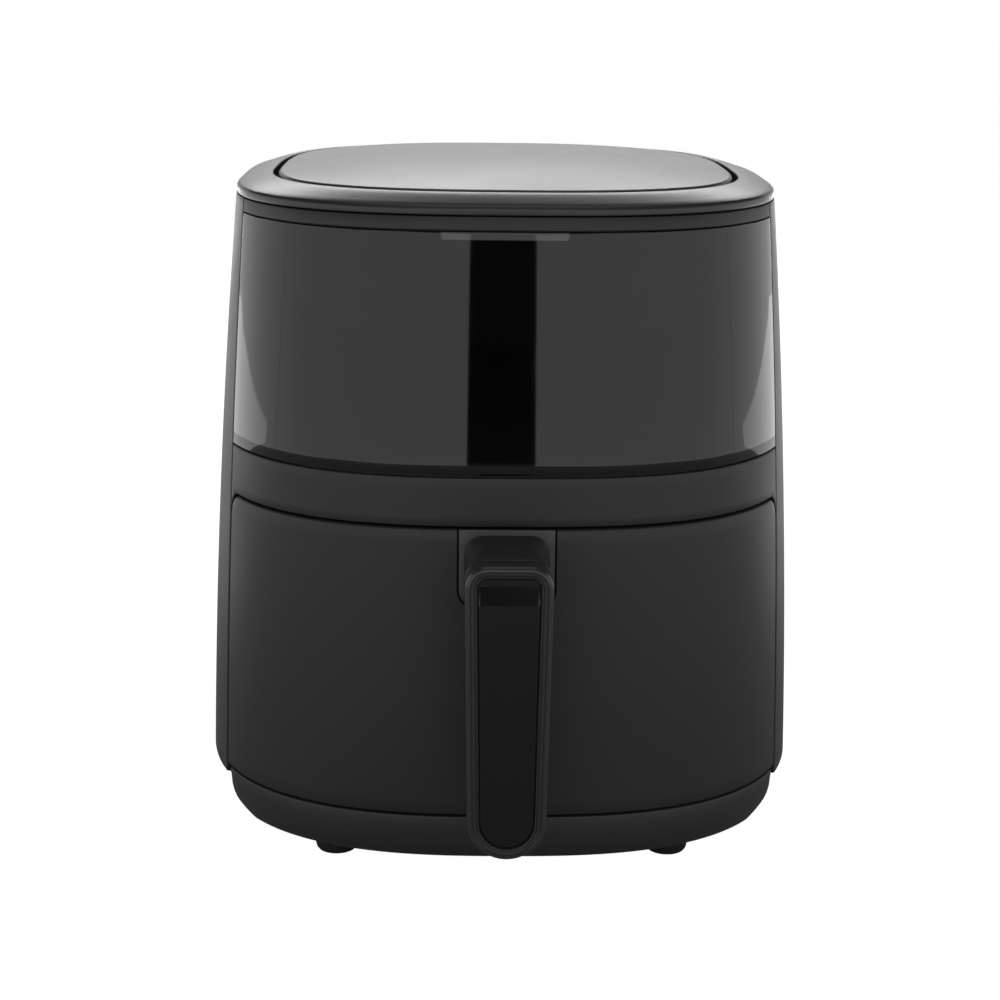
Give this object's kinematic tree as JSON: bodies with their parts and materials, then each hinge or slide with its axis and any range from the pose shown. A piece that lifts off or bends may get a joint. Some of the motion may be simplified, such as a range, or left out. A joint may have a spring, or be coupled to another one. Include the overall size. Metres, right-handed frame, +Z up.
{
  "type": "air fryer",
  "caption": "Countertop drawer air fryer: rounded tapering body, glossy front panel, pull-out drawer with a pan, a lift-out crisper plate and a vertical bar handle.",
  "frame": {"origin": "on the standing surface, centred under the overall box, handle included", "axes": "+Z up, the front with its handle faces -Y, +X to the right seen from behind the origin looking along +Y"},
  "size_m": [0.2796, 0.3558, 0.3091],
  "materials": {
    "matt_plastic": "fine spark-eroded texture, matt",
    "satin_plastic": "satin",
    "gloss_panel": "polished",
    "rubber": "moulded",
    "silicone": "moulded",
    "sheet_steel": "zinc-aluminium coated sheet",
    "element_steel": "heat-tinted tube",
    "core_steel": "stacked laminations",
    "zinc_screw": "zinc plated",
    "bronze": "sintered",
    "nonstick": "non-stick coating",
    "circuit_board": "solder mask"
  },
  "bodies": {
    "housing": {"rear_shell": "matt_plastic", "front_frame": "matt_plastic", "touch_panel": "gloss_panel", "top_ring": "satin_plastic", "top_insert": "satin_plastic", "intake_grille": "matt_plastic", "base_shell": "matt_plastic", "base_screw_1": "zinc_screw", "base_screw_2": "zinc_screw", "base_screw_3": "zinc_screw", "base_screw_4": "zinc_screw", "foot_front_left": "rubber", "foot_front_right": "rubber", "foot_rear_left": "rubber", "foot_rear_right": "rubber", "bay_floor": "sheet_steel", "rail_left": "matt_plastic", "rail_right": "matt_plastic", "chamber_liner": "sheet_steel", "chamber_deck": "sheet_steel", "heat_dome": "sheet_steel", "heating_element": "element_steel", "exhaust_duct": "sheet_steel", "exhaust_grille": "matt_plastic", "motor_plate": "sheet_steel", "motor_bridge": "sheet_steel", "motor_stator": "core_steel", "bearing_lower": "bronze", "bearing_upper": "bronze", "power_board": "circuit_board", "control_board": "circuit_board", "thermal_cutout": "element_steel", "temperature_probe": "element_steel", "drawer_switch": "satin_plastic", "cord_gland": "rubber"},
    "rotor": {"motor_shaft": "element_steel", "motor_rotor": "core_steel", "circulation_fan": "sheet_steel", "cooling_fan": "matt_plastic", "fan_nut": "zinc_screw"},
    "plunger": {"switch_plunger": "satin_plastic"},
    "drawer": {"drawer_front": "matt_plastic", "drawer_inner": "matt_plastic", "pan": "nonstick", "pan_bracket": "sheet_steel", "handle_body": "satin_plastic", "handle_frame": "satin_plastic", "handle_insert": "gloss_panel", "handle_screw_upper": "zinc_screw", "handle_screw_lower": "zinc_screw"},
    "crisper": {"crisper_plate": "nonstick", "plate_foot_1": "silicone", "plate_foot_2": "silicone", "plate_foot_3": "silicone", "plate_foot_4": "silicone"}
  },
  "joints": [
    {"name": "drawer_slide", "type": "slide", "parent": "housing", "child": "drawer", "axis": [0, -1, 0], "range_m": [0, 0.215]},
    {"name": "crisper_lift", "type": "slide", "parent": "drawer", "child": "crisper", "axis": [0, 0, 1], "range_m": [0, 0.09]},
    {"name": "fan_spin", "type": "hinge", "parent": "housing", "child": "rotor", "pos_m": [0, 0.012, 0.2], "axis": [0, 0, 1], "continuous": true},
    {"name": "switch_press", "type": "slide", "parent": "housing", "child": "plunger", "axis": [0, 0, 1], "range_m": [0, 0.0015], "stiffness_N_per_m": 300}
  ]
}
